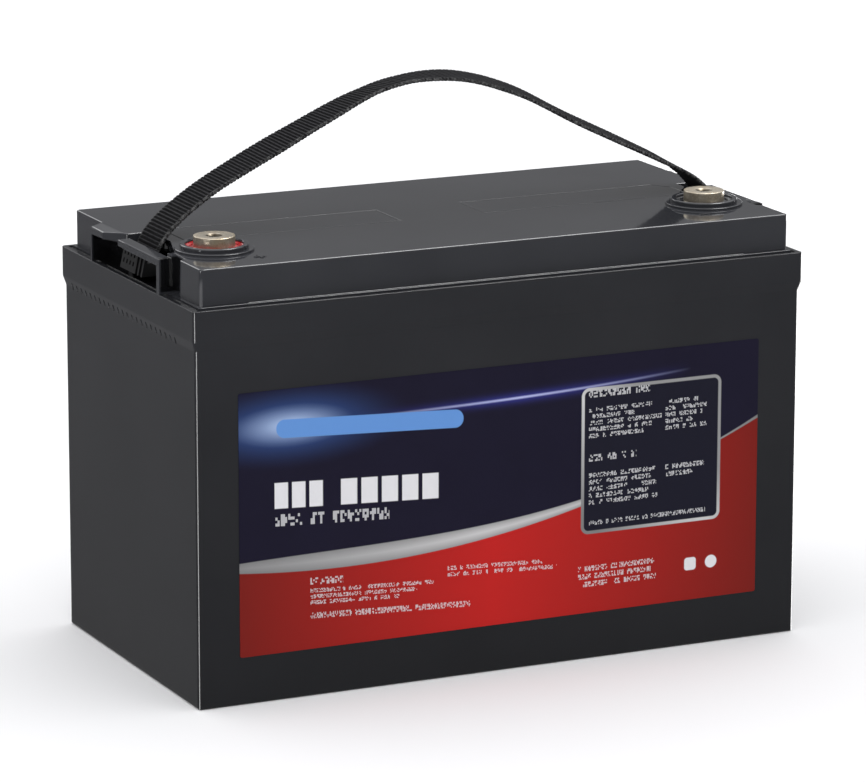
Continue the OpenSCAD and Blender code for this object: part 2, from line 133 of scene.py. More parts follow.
class Graph:
    """A material's node tree around one Principled shader."""

    def __init__(self, name, **sockets):
        self.material = bpy.data.materials.new(name)
        self.material.use_nodes = True
        self.tree = self.material.node_tree
        self.shader = self.tree.nodes["Principled BSDF"]
        for socket, value in sockets.items():
            self.shader.inputs[socket.replace("_", " ")].default_value = value

    def node(self, kind, inputs=(), **settings):
        made = self.tree.nodes.new(kind)
        for key, value in settings.items():
            setattr(made, key, value)
        for key, value in dict(inputs).items():
            self.plug(value, made.inputs[key])
        return made

    def plug(self, value, socket):
        if isinstance(value, Value):
            self.tree.links.new(value.socket, socket)
        else:
            socket.default_value = value

    def math(self, operation, a, b=0.0, c=0.0, clamp=False):
        made = self.node("ShaderNodeMath", {0: a, 1: b, 2: c}, operation=operation, use_clamp=clamp)
        return Value(self, made.outputs[0])

    def place(self, which="Object"):
        """Where a point is: Object is in metres in the frame, UV is in metres along a piece."""
        return Value(self, self.node("ShaderNodeTexCoord").outputs[which])

    def split(self, vector):
        made = self.node("ShaderNodeSeparateXYZ", {0: vector})
        return [Value(self, out) for out in made.outputs]

    def joined(self, x, y, z):
        made = self.node("ShaderNodeCombineXYZ", {0: x, 1: y, 2: z})
        return Value(self, made.outputs[0])

    def noise(self, vector, scale, detail=3.0, roughness=0.5):
        inputs = {"Vector": vector, "Scale": scale, "Detail": detail, "Roughness": roughness}
        return Value(self, self.node("ShaderNodeTexNoise", inputs).outputs["Fac"])

    def cells(self, vector, scale):
        made = self.node("ShaderNodeTexVoronoi", {"Vector": vector, "Scale": scale})
        return Value(self, made.outputs["Distance"])

    def random_at(self, vector):
        return Value(self, self.node("ShaderNodeTexWhiteNoise", {"Vector": vector}).outputs["Value"])

    def stretched(self, vector, x, y, z):
        made = self.node("ShaderNodeVectorMath", {0: vector, 1: (x, y, z)}, operation="MULTIPLY")
        return Value(self, made.outputs[0])

    def wave(self, value, period):
        """A smooth wave from 0 to 1."""
        return self.math("SINE", value * (2 * math.pi / period)) * 0.5 + 0.5

    def ramp(self, value, *stops):
        """Colours or numbers at places from 0 to 1."""
        made = self.node("ShaderNodeValToRGB", {0: value})
        elements = made.color_ramp.elements
        while len(elements) < len(stops):
            elements.new(0.5)
        for element, (place, colour) in zip(elements, stops):
            element.position = place
            element.color = (*colour, 1) if isinstance(colour, tuple) else (colour, colour, colour, 1)
        return Value(self, made.outputs[0])

    def mix(self, share, a, b):
        """Colour a where share is 0, and b where it is 1."""
        made = self.node("ShaderNodeMix", data_type="RGBA")
        self.plug(share, made.inputs[0])
        for socket, colour in zip(made.inputs[6:8], (a, b)):
            self.plug((*colour, 1) if isinstance(colour, tuple) else colour, socket)
        return Value(self, made.outputs[2])

    def bump(self, *layers):
        """Layers of (height from 0 to 1, real depth in metres), the finest last."""
        normal = None
        for height, depth in layers:
            inputs = {"Height": height, "Distance": depth, "Strength": 1.0}
            if normal:
                inputs["Normal"] = normal
            normal = Value(self, self.node("ShaderNodeBump", inputs).outputs[0])
        self.plug(normal, self.shader.inputs["Normal"])

    def colour(self, value):
        self.plug(value, self.shader.inputs["Base Color"])

    def roughness(self, value):
        self.plug(value, self.shader.inputs["Roughness"])


# ---- Materials ----

BLACK_LOW, BLACK_HIGH = (0.0180, 0.0188, 0.0216), (0.0235, 0.0244, 0.0276)
# Painted shade: the black the moulding darkens to towards the foot
FOOT_SHADE = (0.003, 0.003, 0.0035)
# Painted shade: the black of the lid's recesses
RECESS_SHADE = (0.0015, 0.0015, 0.0017)


def within(value, low, high):
    """1 between two bounds and 0 outside them, with soft steps."""
    middle, half = (low + high) / 2, (high - low) / 2
    return 1 - (value - middle).abs().above(half, RECESS_SHADE_SOFT)


def black_plastic(name, level, roughness, tone, recesses=()):
    """Polished black moulding, darkened towards the foot by painted shade, with a faint ripple and fine
    hairline scuffs.

    The recesses, spans of |x|, y and z, get painted shade: a deeper black.
    """
    g = Graph(name, Specular_IOR_Level=level)
    at = g.place()
    x, y, z = g.split(at)
    ripple = g.noise(at, 30, 2)
    scuffs = g.noise(g.stretched(at, 260, 60, 900), 3, 5, 0.7)
    patches = g.noise(at, 14, 4)
    low, high = (tuple(tone * c for c in shade) for shade in (BLACK_LOW, BLACK_HIGH))
    shade = g.ramp(patches, (0.3, low), (0.75, high))
    # Painted shade: the moulding darkens towards the foot, where less light falls on it
    foot_shade_share = (1 - z / CASE_HIGH.z).at_least(0.0) * 0.45
    shade = g.mix(foot_shade_share, shade, FOOT_SHADE)
    # Painted shade: the recesses go a deeper black, where little light reaches them
    for spans in recesses:
        inside = within(x.abs(), *spans[0]) * within(y, *spans[1]) * within(z, *spans[2])
        shade = g.mix(inside * 0.9, shade, RECESS_SHADE)
    g.colour(shade)
    g.roughness(roughness + scuffs.above(0.56, 0.12) * 0.05 + patches * 0.03)
    g.bump((ripple, 0.00004))
    return g.material


def satin_plastic(name):
    """Satin moulding with a fine spark-eroded grain."""
    g = Graph(name, Specular_IOR_Level=0.35)
    at = g.place()
    grain = g.noise(at, 3200, 3, 0.6)
    tint = g.noise(at, 90, 3)
    g.colour(g.ramp(tint, (0.3, (0.006, 0.0062, 0.0065)), (0.8, (0.010, 0.0102, 0.0106))))
    g.roughness(0.3 + grain * 0.14)
    g.bump((grain, 0.00003))
    return g.material


def rubber(name):
    g = Graph(name, Specular_IOR_Level=0.35)
    at = g.place()
    bloom = g.noise(at, 220, 4)
    g.colour(g.ramp(bloom, (0.35, (0.018, 0.018, 0.018)), (0.8, (0.04, 0.04, 0.041))))
    g.roughness(0.6 + bloom * 0.2)
    g.bump((g.noise(at, 1800, 2), 0.00004))
    return g.material


def epoxy(name, low, high):
    """Cast resin, coloured right through and glossy, with small trapped bubbles."""
    g = Graph(name, Specular_IOR_Level=0.5, Coat_Weight=0.6, Coat_Roughness=0.04)
    at = g.place()
    cloud = g.noise(at, 180, 4)
    bubbles = g.cells(at, 900).above(0.16, 0.05)
    g.colour(g.ramp(cloud, (0.3, low), (0.75, high)))
    g.roughness(0.12 + cloud * 0.1)
    g.bump((g.noise(at, 120, 2), 0.0002), (bubbles, 0.00003))
    return g.material


def tinned_brass(name, centre, bore):
    """Turned brass with a thin, stained tin plate: tool marks, dull blotches, fine pits, and painted shade in
    the dark bore.
    """
    g = Graph(name, Metallic=1.0)
    at = g.place()
    x, y, height = g.split(at)
    from_axis = g.math("SQRT", (x - centre.x).power(2) + (y - centre.y).power(2))
    # Painted shade: the countersink and bore go dark, where little light reaches into the hole
    bore_shade = 1 - from_axis.above(bore, 0.0006)
    stain = g.noise(at, 170, 6, 0.62)
    speck = g.noise(at, 900, 4, 0.6)
    tarnish = (stain * 0.75 + speck * 0.25).above(0.55, 0.22)
    bare = g.noise(at, 60, 3).above(0.6, 0.2)
    plate = g.mix(bare, (0.66, 0.60, 0.49), (0.66, 0.55, 0.36))
    plate = g.mix(tarnish * 0.85, plate, (0.22, 0.17, 0.115))
    g.colour(g.mix(bore_shade * (0.7 + stain * 0.4), plate, (0.035, 0.027, 0.018)))
    g.roughness(0.26 + tarnish * 0.22 + speck * 0.08)
    turning = g.wave(height, 0.00022) * g.noise(at, 300, 2)
    g.bump((stain, 0.00008), (turning, 0.00001), (speck, 0.00003))
    return g.material


def cast_lead(name):
    g = Graph(name, Metallic=0.85)
    at = g.place()
    frost = g.noise(at, 240, 6, 0.65)
    oxide = g.noise(at, 45, 4)
    metal = g.ramp(frost, (0.3, (0.16, 0.165, 0.175)), (0.75, (0.33, 0.335, 0.35)))
    g.colour(g.mix(oxide, metal, (0.22, 0.22, 0.225)))
    g.roughness(0.48 + frost * 0.25)
    g.bump((frost, 0.00012), (g.cells(at, 1500), 0.00003))
    return g.material


def paste(name):
    """Lead dioxide paste pressed into a cast grid, whose wires show as a faint lattice."""
    g = Graph(name, Specular_IOR_Level=0.25)
    at = g.place()
    x, y, z = g.split(at)
    wires = g.wave(y, 0.012).power(8).at_least(g.wave(z, 0.006).power(8))
    grain = g.noise(at, 1600, 5, 0.7)
    brown = g.ramp(grain, (0.25, (0.035, 0.016, 0.01)), (0.8, (0.085, 0.04, 0.026)))
    g.colour(g.mix(wires * 0.5, brown, (0.12, 0.085, 0.07)))
    g.roughness(0.75 + grain * 0.2)
    g.bump((wires, 0.0002), (grain, 0.00008))
    return g.material


def glass_felt(name):
    """Felted glass fibre: fine crossed strands over a soft cloudy base."""
    g = Graph(name, Specular_IOR_Level=0.2, Sheen_Weight=0.2)
    at = g.place()
    strands = g.noise(g.stretched(at, 1, 1, 9), 900, 3).at_least(g.noise(g.stretched(at, 1, 9, 1), 900, 3))
    cloud = g.noise(at, 60, 3)
    base = g.ramp(cloud, (0.3, (0.66, 0.66, 0.63)), (0.7, (0.8, 0.8, 0.78)))
    g.colour(g.mix(strands, base, (0.86, 0.86, 0.84)))
    g.roughness(0.85 + strands * 0.1)
    g.bump((cloud, 0.0002), (strands, 0.00006))
    return g.material


def webbing_cloth(name):
    """Black polypropylene: yarns side by side across each rib, paler flecks of fibre, and painted sheen in
    flecks along the edges.
    """
    g = Graph(name, Specular_IOR_Level=0.005)
    along, across, _ = g.split(g.place("UV"))
    at = g.place()
    yarn = g.wave(across + g.noise(at, 900, 2) * 0.0003, YARN)
    fibre = g.noise(g.stretched(at, 0.3, 1.0, 1.0), 5200, 3, 0.7)
    worn = g.noise(at, 520, 5, 0.7)
    edge = across.abs().above(WEB_W / 2 - 0.0016, 0.0010)
    flecks_and_edge_sheen = (fibre * 0.5 + worn * 0.5).above(0.535, 0.10)
    binder = g.wave(along + worn * 0.0005, RIB / 2).power(5) * (0.4 + worn)
    weave = yarn * 0.5 + fibre * 0.5
    base = g.ramp(weave, (0.2, (0.0015, 0.0015, 0.0017)), (0.85, (0.0075, 0.0075, 0.0085)))
    base = g.mix((binder * 0.8).at_most(1.0), base, (0.075, 0.075, 0.079))
    # Pale flecks of fibre all over, and many more along the edges, where they are painted sheen of the edge
    # yarns
    g.colour(g.mix(flecks_and_edge_sheen * (0.04 + edge * 0.55), base, (0.24, 0.24, 0.235)))
    g.roughness(0.36 + fibre * 0.12)
    g.bump((yarn, 0.00016), (fibre, 0.00005))
    return g.material


# ---- Label artwork: boxes are (left, bottom, right, top) in heights of the label ----

PRINT_SOFT = 0.003
MARK_FILL, ROW_FILL = 0.84, 0.66
WHITE = (0.80, 0.80, 0.82)
SWEEP_LOW = (0.321, -0.1026, 0.1193, 0.0033)
SWEEP_HIGH = (0.359, 0.0337, -0.0454, 0.0478)
TAIL = (0.861, 0.0, -0.004, 0.010)
FLARE = (0.211, 0.861)
PANEL = (1.404, 0.309, 2.000, 0.878)
PANEL_ROUND = 0.032
PANEL_EDGE = 0.0125
TILT, TILT_FROM = 0.048, 0.14
BAR = (0.150, 0.818, 0.910, 0.888)
BAR_ROUND = 0.034
# Box, pitch and the filled share of the pitch
BLOCKS = [
    ((0.141, 0.552, 0.340, 0.650), 0.0700, 0.78),
    ((0.408, 0.552, 0.812, 0.650), 0.0832, 0.80),
]
# Box, rows, pitch of the marks, and 1 where the rows lie a little tilted
PRINT = [
    ((0.136, 0.462, 0.775, 0.530), 1, 0.0300, 1),
    ((0.284, 0.240, 0.430, 0.280), 1, 0.0200, 1),
    ((0.284, 0.170, 0.830, 0.238), 3, 0.0130, 1),
    ((0.846, 0.238, 1.370, 0.286), 2, 0.0130, 1),
    ((0.284, 0.112, 1.200, 0.146), 1, 0.0130, 1),
    ((1.434, 0.826, 1.700, 0.866), 1, 0.0200, 0),
    ((1.435, 0.674, 1.745, 0.800), 5, 0.0150, 0),
    ((1.761, 0.674, 1.945, 0.800), 5, 0.0150, 0),
    ((1.436, 0.578, 1.735, 0.618), 1, 0.0200, 0),
    ((1.437, 0.414, 1.740, 0.546), 5, 0.0150, 0),
    ((1.763, 0.490, 1.945, 0.546), 2, 0.0150, 0),
    ((1.439, 0.334, 1.975, 0.360), 1, 0.0120, 0),
    ((1.394, 0.092, 1.811, 0.184), 3, 0.0140, 0),
]
DOTS = [((1.850, 0.117, 1.900, 0.167), 0.012), ((1.940, 0.117, 1.990, 0.167), 0.025)]
PRINT_SHARE = 0.62
LABEL_SPAN = 2.16
NAVY_LOW, NAVY_HIGH = (0.0075, 0.006, 0.0195), (0.010, 0.0085, 0.026)
RED_DIM, RED_LIT = (0.20, 0.011, 0.007), (0.56, 0.014, 0.012)
PANEL_TONE = (0.0095, 0.0095, 0.021)
BAR_TONE = (0.13, 0.31, 0.70)
# Width, height and sharpness of the glow, and its tint
GLOW, GLOW_TINT = ((0.50, 0.17), 1.8), (0.05, 0.13, 0.42)
CORE, CORE_TINT = ((0.26, 0.085), 1.6), (0.60, 0.76, 1.0)
# The thin line: where along the label it is brightest, how far it reaches, and its two widths
TAIL_MIDDLE, TAIL_REACH = 1.15, 0.72
TAIL_HALO, TAIL_LINE = 0.05, 0.007
TAIL_HALO_TINT, TAIL_LINE_TINT = (0.06, 0.07, 0.48), (0.62, 0.66, 1.0)


def label_film(name):
    """Gloss film: navy above a rising silver sweep, red below it, a bordered data panel and plain print."""
    g = Graph(name, Specular_IOR_Level=0.36)
    at = g.place()
    x, _, z = g.split(at)
    low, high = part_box("front_label")
    height = high.z - low.z
    g.colour(printed(g, (x - low.x) / height, (z - low.z) / height, at))
    g.roughness(0.12 + g.noise(at, 160, 4) * 0.06)
    g.bump((g.noise(at, 22, 2), 0.00006))
    return g.material


def inside_box(g, u, v, box, radius=0.0, soft=0.003):
    """1 inside a box with rounded corners: (left, bottom, right, top) in heights of the label."""
    left, bottom, right, top = box
    du = (u - (left + right) / 2).abs() - ((right - left) / 2 - radius)
    dv = (v - (bottom + top) / 2).abs() - ((top - bottom) / 2 - radius)
    if radius:
        corner = g.math("SQRT", du.at_least(0.0).power(2) + dv.at_least(0.0).power(2))
        return 1 - (corner + du.at_least(dv).at_most(0.0)).above(radius, soft)
    return 1 - du.at_least(dv).above(0.0, soft)


def print_rows(g, u, v, box, rows, pitch, seed):
    """Rows of small random marks, as print looks from afar, with word gaps and ragged ends."""
    left, bottom, right, top = box
    line = (top - v) * (rows / (top - bottom))
    row = line.floor()
    length = g.random_at(g.joined(row, seed, 0.0)) * 0.35 + 0.65
    cell = (u - left) / pitch
    column = cell.floor()
    mark_x = (cell.fraction() * (3 / MARK_FILL)).floor()
    mark_y = (line.fraction() * (4 / ROW_FILL)).floor()
    place = g.joined(column * 5 + mark_x, row * 7 + mark_y, seed)
    marks = g.random_at(place).above(0.42) * (1 - mark_x.above(2.5)) * (1 - mark_y.above(3.5))
    words = g.random_at(g.joined(column, row, seed + 50)).above(0.14)
    kept = 1 - ((u - left) / (right - left)).above(length)
    return inside_box(g, u, v, box, soft=0.0) * marks * words * kept


def blocks(g, u, v, box, pitch, fill):
    """A row of plain blocks."""
    edge = (((u - box[0]) / pitch).fraction() - fill / 2).abs().above(fill / 2, 0.05)
    return inside_box(g, u, v, box) * (1 - edge)


def glow(g, u, v, place, size, sharp):
    """Soft light that fades away from a place, over (width, height)."""
    du, dv = (u - place[0]) / size[0], (v - place[1]) / size[1]
    return (1 - g.math("SQRT", du * du + dv * dv)).at_least(0.0).power(sharp)


def printed(g, u, v, at):
    """The label's colours. u and v are in heights of the label, from its lower left corner."""
    sweep_low, sweep_high = (cubic(u, curve) for curve in (SWEEP_LOW, SWEEP_HIGH))
    cloud = g.noise(at, 40, 4)
    navy = g.mix(cloud, NAVY_LOW, NAVY_HIGH)
    lit, core = (glow(g, u, v, FLARE, *spread) for spread in (GLOW, CORE))
    navy = g.mix(lit, navy, GLOW_TINT)
    navy = g.mix(core * 0.85, navy, CORE_TINT)
    tail = cubic(u, TAIL)
    fade = (1 - (u - TAIL_MIDDLE).abs() / TAIL_REACH).at_least(0.0)
    halo = (1 - (v - tail).abs() / TAIL_HALO).at_least(0.0).power(3) * fade
    line = (1 - (v - tail).abs() / TAIL_LINE).at_least(0.0) * fade
    navy = g.mix(halo * 0.6, navy, TAIL_HALO_TINT)
    navy = g.mix(line * 0.85, navy, TAIL_LINE_TINT)
    along = u * (1 / LABEL_SPAN)
    red = g.ramp(along, (0.0, RED_DIM), (0.48, RED_LIT), (1.0, RED_DIM))
    across = (v - sweep_low) / (sweep_high - sweep_low)
    shine = g.ramp(along, (0.0, 0.26), (0.45, 0.62), (0.66, 0.55), (1.0, 0.22))
    silver = g.mix((across - 0.5).abs() * 1.2, shine, (0.17, 0.17, 0.17))
    field = g.mix(v.above(sweep_low, PRINT_SOFT), red, silver)
    field = g.mix(v.above(sweep_high, PRINT_SOFT), field, navy)
    rim = g.ramp((u + v) * 0.4, (0.72, 0.22), (0.90, 0.62), (1.0, 0.30))
    field = g.mix(inside_box(g, u, v, PANEL, PANEL_ROUND), field, rim)
    left, bottom, right, top = PANEL
    inner = (left + PANEL_EDGE, bottom + PANEL_EDGE, right - PANEL_EDGE, top - PANEL_EDGE)
    field = g.mix(inside_box(g, u, v, inner, PANEL_ROUND - PANEL_EDGE), field, PANEL_TONE)
    tilted = v + (u - TILT_FROM) * TILT
    field = g.mix(inside_box(g, u, tilted, BAR, BAR_ROUND), field, BAR_TONE)
    for box, pitch, fill in BLOCKS:
        field = g.mix(blocks(g, u, tilted, box, pitch, fill), field, WHITE)
    for box, rows, pitch, leans in PRINT:
        seed = round(100 * box[0] + 10 * box[1], 2)
        marks = print_rows(g, u, tilted if leans else v, box, rows, pitch, seed)
        field = g.mix(marks * PRINT_SHARE, field, WHITE)
    for box, radius in DOTS:
        field = g.mix(inside_box(g, u, v, box, radius), field, WHITE)
    return field


def cubic(u, curve):
    """The value at u of a cubic, whose constant term comes first."""
    a, b, c, d = curve
    return ((u * d + c) * u + b) * u + a


# ---- Meshes ----

def piece(name, mesh, material, body, slot, *replaced):
    """A new piece that rides on a body, or on none yet, and stands for the CAD nodes replaced."""
    made = bpy.data.objects.new(name, mesh)
    bpy.context.scene.collection.objects.link(made)
    made.data.materials.clear()
    made.data.materials.append(material)
    if body:
        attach(made, body)
    if replaced:
        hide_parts(*replaced)
    return made


def mesh_of(name, verts, faces, uv=None):
    mesh = bpy.data.meshes.new(name)
    mesh.from_pydata([tuple(v) for v in verts], [], faces)
    if uv is not None:
        layer = mesh.uv_layers.new(name="UVMap")
        corners = np.empty(len(mesh.loops), np.int32)
        mesh.loops.foreach_get("vertex_index", corners)
        layer.data.foreach_set("uv", np.asarray(uv, np.float32)[corners].ravel())
    mesh.shade_smooth()
    return mesh


def welded(node):
    """A closed copy of a CAD node's mesh."""
    bm = bmesh.new()
    bm.from_mesh(NODES[node].data)
    bmesh.ops.remove_doubles(bm, verts=bm.verts, dist=MERGE)
    mesh = bpy.data.meshes.new(node + "_copy")
    bm.to_mesh(mesh)
    bm.free()
    return mesh


def fused(name, first, *others):
    """One closed mesh of CAD solids that meet face to face."""
    base = bpy.data.objects.new(name, welded(first))
    bpy.context.scene.collection.objects.link(base)
    tools = []
    for other in others:
        tool = bpy.data.objects.new(other + "_tool", welded(other))
        bpy.context.scene.collection.objects.link(tool)
        union = base.modifiers.new(other, "BOOLEAN")
        union.operation = "UNION"
        union.solver = "EXACT"
        union.object = tool
        tools.append(tool)
    mesh = bpy.data.meshes.new_from_object(base.evaluated_get(bpy.context.evaluated_depsgraph_get()))
    for made in [base, *tools]:
        bpy.data.objects.remove(made)
    mesh.name = name
    return mesh


def tidied(mesh, cuts=()):
    """Flat areas become single faces, split only by the planes in cuts, which pass through their holes."""
    bm = bmesh.new()
    bm.from_mesh(mesh)
    bmesh.ops.remove_doubles(bm, verts=bm.verts, dist=2 * MERGE)
    for axis, places in cuts:
        for place in places:
            normal = Vector(axis)
            everything = [*bm.verts, *bm.edges, *bm.faces]
            cut = bmesh.ops.bisect_plane(
                bm, geom=everything, plane_co=normal * place, plane_no=normal, dist=MERGE
            )
            for edge in cut["geom_cut"]:
                if isinstance(edge, bmesh.types.BMEdge):
                    edge.seam = True
    bmesh.ops.dissolve_limit(bm, angle_limit=FLAT, verts=bm.verts, edges=bm.edges, delimit={"SEAM"})
    bm.to_mesh(mesh)
    bm.free()
    return mesh


# The share of a face's width that the rounding beside one of its edges may take
ROOM_TAKEN = 0.4


def room_beside(edge, face):
    """How far a face reaches from an edge, straight across from three places along it."""
    start, end = (v.co for v in edge.verts)
    along = (end - start).normalized()
    for loop in edge.link_loops:
        if loop.face == face:
            into = face.normal.cross((loop.link_loop_next.vert.co - loop.vert.co).normalized())
    least = 1.0
    for share in (0.2, 0.5, 0.8):
        at = start.lerp(end, share)
        for other in face.edges:
            if other == edge:
                continue
            one, two = ((v.co - at) for v in other.verts)
            a, b = one.dot(along), two.dot(along)
            if a * b < 0:
                reach = (one + (two - one) * (a / (a - b))).dot(into)
                if reach > MERGE:
                    least = min(least, reach)
    return least


def bevel_weights(bm, width, share):
    """Weight share(place) on each true edge, less beside a narrow face, and even along a run of edges."""
    layer = bm.edges.layers.float.new("bevel_weight_edge")
    chosen = []
    for edge in bm.edges:
        most = share(sum((v.co for v in edge.verts), Vector()) / 2)
        if most and len(edge.link_faces) == 2 and edge.calc_face_angle(0) > SHARP:
            edge[layer] = min(most, ROOM_TAKEN * min(room_beside(edge, f) for f in edge.link_faces) / width)
            chosen.append(edge)
    verts = list(dict.fromkeys(v for e in chosen for v in e.verts))
    changed = True
    while changed:
        changed = False
        for vert in verts:
            meeting = [e for e in vert.link_edges if e[layer] > 0]
            if len(meeting) == 2 and abs(meeting[0][layer] - meeting[1][layer]) > 1e-6:
                least = min(e[layer] for e in meeting)
                for edge in meeting:
                    edge[layer] = least
                changed = True


def flat_normals(made):
    """Large flat faces keep their own normals, and the rounding takes up the turn."""
    weighted = made.modifiers.new("normals", "WEIGHTED_NORMAL")
    weighted.mode = "FACE_AREA"
    weighted.weight = 100
    weighted.keep_sharp = True


def stray_places(made, limit):
    """Where the rounded mesh leaves its own surface or turns inside out."""
    mesh = made.data
    tree = BVHTree.FromPolygons([v.co for v in mesh.vertices], [p.vertices[:] for p in mesh.polygons])
    result = made.evaluated_get(bpy.context.evaluated_depsgraph_get()).to_mesh()
    places = [v.co.copy() for v in result.vertices if (tree.find_nearest(v.co)[3] or 0) > limit]
    for polygon in result.polygons:
        _, normal, _, _ = tree.find_nearest(polygon.center)
        if polygon.area > 1e-9 and normal and normal.dot(polygon.normal) < -0.2:
            places.append(polygon.center.copy())
    return places


# How often a stray rounding is made smaller, and from which time on it is left out altogether
TRIES, LAST_SMALLER = 6, 4


def rounded(made, width, share):
    """Rounds edges by share(place) of the width, but for the few that can't be rounded cleanly."""
    mesh = made.data
    bm = bmesh.new()
    bm.from_mesh(mesh)
    bevel_weights(bm, width, share)
    bm.to_mesh(mesh)
    bm.free()
    bevel = made.modifiers.new("rounded", "BEVEL")
    bevel.limit_method = "WEIGHT"
    bevel.width = width
    bevel.segments = 3
    bevel.use_clamp_overlap = False
    mesh.shade_smooth()
    mesh.set_sharp_from_angle(angle=SHARP)
    flat_normals(made)
    for attempt in range(TRIES):
        bad = stray_places(made, 0.5 * width)
        if not bad:
            break
        weights = mesh.attributes["bevel_weight_edge"].data
        reach = width * (1.5 + attempt)
        points = kdtree.KDTree(len(bad))
        for k, place in enumerate(bad):
            points.insert(place, k)
        points.balance()
        for edge in mesh.edges:
            ends = [mesh.vertices[k].co for k in edge.vertices]
            if weights[edge.index].value > 0 and min(points.find(e)[2] for e in ends) < reach:
                weights[edge.index].value *= 0.4 if attempt < LAST_SMALLER else 0.0
        mesh.update()


def soften(node, width):
    """Weld and bevel on a CAD node that keeps its own mesh."""
    made = NODES[node]
    weld = made.modifiers.new("weld", "WELD")
    weld.merge_threshold = MERGE
    bevel = made.modifiers.new("bevel", "BEVEL")
    bevel.limit_method = "ANGLE"
    bevel.angle_limit = SHARP
    bevel.width = width
    bevel.segments = 2
    made.data.shade_smooth()
    made.data.set_sharp_from_angle(angle=SHARP)
    flat_normals(made)


def paint(material, *names):
    """Gives CAD nodes a material."""
    for name in names:
        NODES[name].data.materials.clear()
        NODES[name].data.materials.append(material)


# ---- Strap ----

WEB_W = 25 * MM
WEB_T = 2.0 * MM
RIB = 3.85 * MM
YARN = 0.62 * MM
STRAP_Y = -1.0 * MM
STRAP_END = Vector((158 * MM, 0, CASE_HIGH.z + 5.8 * MM))
# Slope and roll of the webbing in degrees at places from its left end, -1, to its right end, 1
SLOPES = [
    (-1, -66), (-0.935, -61), (-0.87, -42), (-0.80, -35), (-0.67, -27.5), (-0.54, -26), (-0.28, -25),
    (-0.215, -21), (-0.148, -15), (-0.08, -7), (0, 0), (0.05, 5), (0.114, 13), (0.18, 18), (0.244, 21),
    (0.31, 27), (0.375, 29), (0.505, 25.5), (0.635, 25.5), (0.765, 26.5), (0.83, 31.5), (0.895, 46),
    (0.94, 61), (1, 66),
]
ROLLS = [
    (-1, 0), (-0.7, 1.5), (-0.6, 2.5), (-0.5, 3), (-0.4, 0.5), (-0.3, -1), (-0.19, -5.5), (-0.08, -4),
    (0, 0), (0.08, 3), (0.19, 6.5), (0.33, 8), (0.6, 7.5), (0.75, 6), (0.86, 1.5), (1, 0),
]
RIB_STEPS = 12
# Near its two ends the webbing lies a little wider and further to the front
END_SPREAD = 0.8 * MM


def strap_line():
    """Middle line of the strap: places from -1 to 1, x, z and slope, and its half length."""
    steps = 800
    place = np.linspace(-1, 1, steps)
    slope = np.radians(np.interp(place, *np.array(SLOPES).T))
    middle = (slope[1:] + slope[:-1]) / 2
    run = np.concatenate([[0], np.cumsum(np.cos(middle))]) / (steps - 1)
    rise = np.concatenate([[0], np.cumsum(-np.sin(middle))]) / (steps - 1)
    length = 2 * STRAP_END.x / run[-1]
    x = run * length - STRAP_END.x
    z = STRAP_END.z + rise * length - (place + 1) / 2 * rise[-1] * length
    return place, x, z, slope, length / 2


def web_profile():
    """Half-width and half-thickness factors round the webbing's section, with rounded edges."""
    turn = [(math.cos(a), math.sin(a)) for a in np.radians((60, 20, -20, -60))]
    corner = WEB_T / 2 / (WEB_W / 2)
    across_top = [(k * (1 - corner), 1.0) for k in np.linspace(-1, 1, 13)]
    right = [(1 - corner + corner * c, s) for c, s in turn]
    under = [(-k, -1.0) for k, _ in across_top]
    left = [(-k, -h) for k, h in right]
    return np.array(across_top + right + under + left)


def webbing_mesh():
    """Ribbed webbing: each rib is a fat weft with two finer ones, and it bulges at the woven edges."""
    place, x, z, slope, half = strap_line()
    count = int(2 * half / RIB * RIB_STEPS)
    at = np.linspace(-half, half, count)
    px, pz, lean = (np.interp(at / half, place, k) for k in (x, z, slope))
    roll = np.radians(np.interp(at / half, *np.array(ROLLS).T))
    coarse = np.abs(np.sin(np.pi * at / RIB)) ** 0.5
    fine = np.abs(np.sin(2 * np.pi * at / RIB)) ** 0.6
    spread = np.interp(np.abs(at) / half, (0.70, 0.92), (0, 1))
    random.seed(7)
    loose = np.array([random.uniform(-1, 1) for _ in range(count)])
    profile = web_profile()
    verts, uv = [], []
    for k in range(count):
        out = Vector((math.sin(lean[k]), 0, math.cos(lean[k])))
        side = Vector((0, 1, 0))
        over = side * math.cos(roll[k]) + out * math.sin(roll[k])
        up = out * math.cos(roll[k]) - side * math.sin(roll[k])
        centre = Vector((px[k], STRAP_Y - END_SPREAD * spread[k], pz[k]))
        notch = 0.30 * (1 - coarse[k]) + 0.25 * (1 - fine[k]) + 0.05 * loose[k]
        wide = WEB_W / 2 + END_SPREAD * spread[k] - notch * MM
        thick = WEB_T / 2 - (0.16 * (1 - coarse[k]) + 0.30 * (1 - fine[k])) * MM
        for across, height in profile:
            verts.append(centre + over * (across * wide) + up * (height * thick))
            uv.append((at[k], across * WEB_W / 2))
    return closed_sweep("handle_webbing", verts, uv, count, len(profile))


def closed_sweep(name, verts, uv, rings, sides):
    """A mesh through rings of points, with a cap at each end."""
    faces = [
        (r * sides + k, (r + 1) * sides + k, (r + 1) * sides + (k + 1) % sides, r * sides + (k + 1) % sides)
        for r in range(rings - 1) for k in range(sides)
    ]
    faces.append(tuple(range(sides)))
    faces.append(tuple(reversed(range((rings - 1) * sides, rings * sides))))
    return mesh_of(name, verts, faces, uv)


def add_strap():
    made = piece("handle_webbing", webbing_mesh(), webbing_cloth("webbing"), None, "webbing", "handle_strap")
    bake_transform(made)


# ---- Stage ----

